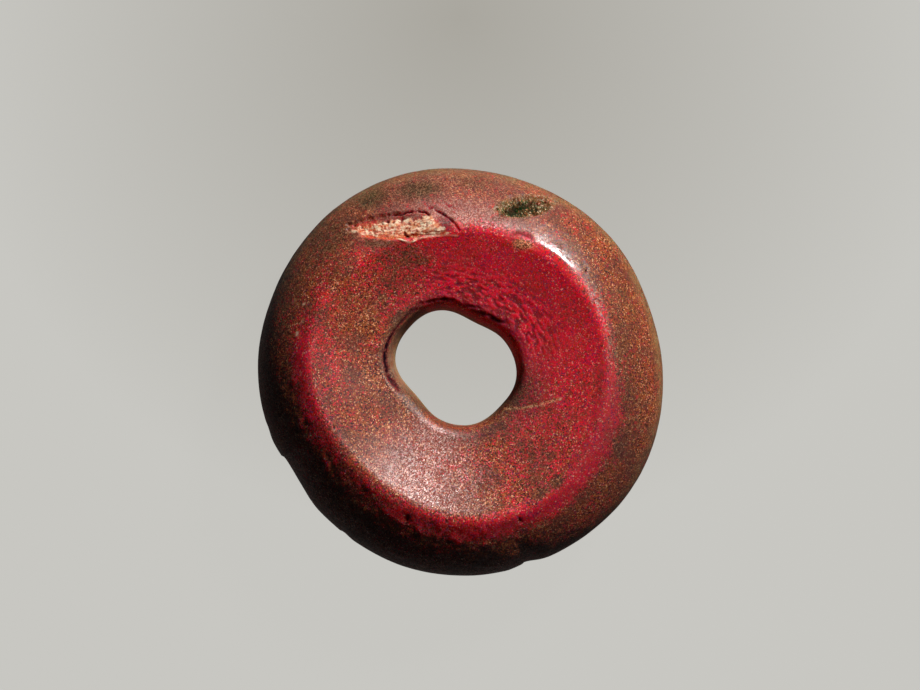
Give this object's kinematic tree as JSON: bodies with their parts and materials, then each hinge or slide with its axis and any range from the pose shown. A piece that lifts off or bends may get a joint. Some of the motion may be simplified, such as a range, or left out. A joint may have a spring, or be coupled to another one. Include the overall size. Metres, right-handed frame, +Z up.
{
  "type": "stone ring",
  "caption": "Worn ancient ring bead of dark red amber with a dished face, a thick rounded rim, an uneven bored eye and chipped edges.",
  "frame": {"origin": "middle of the ring's box on its flat back, where it lies", "axes": "+Z up through the eye, from the flat back to the dished face; +Y towards the chipped side, the top of the picture; +X the picture's right"},
  "size_m": [0.042, 0.0422, 0.013],
  "materials": {
    "amber": "weathered satin amber, dark red with a brown skin"
  },
  "bodies": {
    "root": {"ring": "amber"}
  },
  "joints": []
}
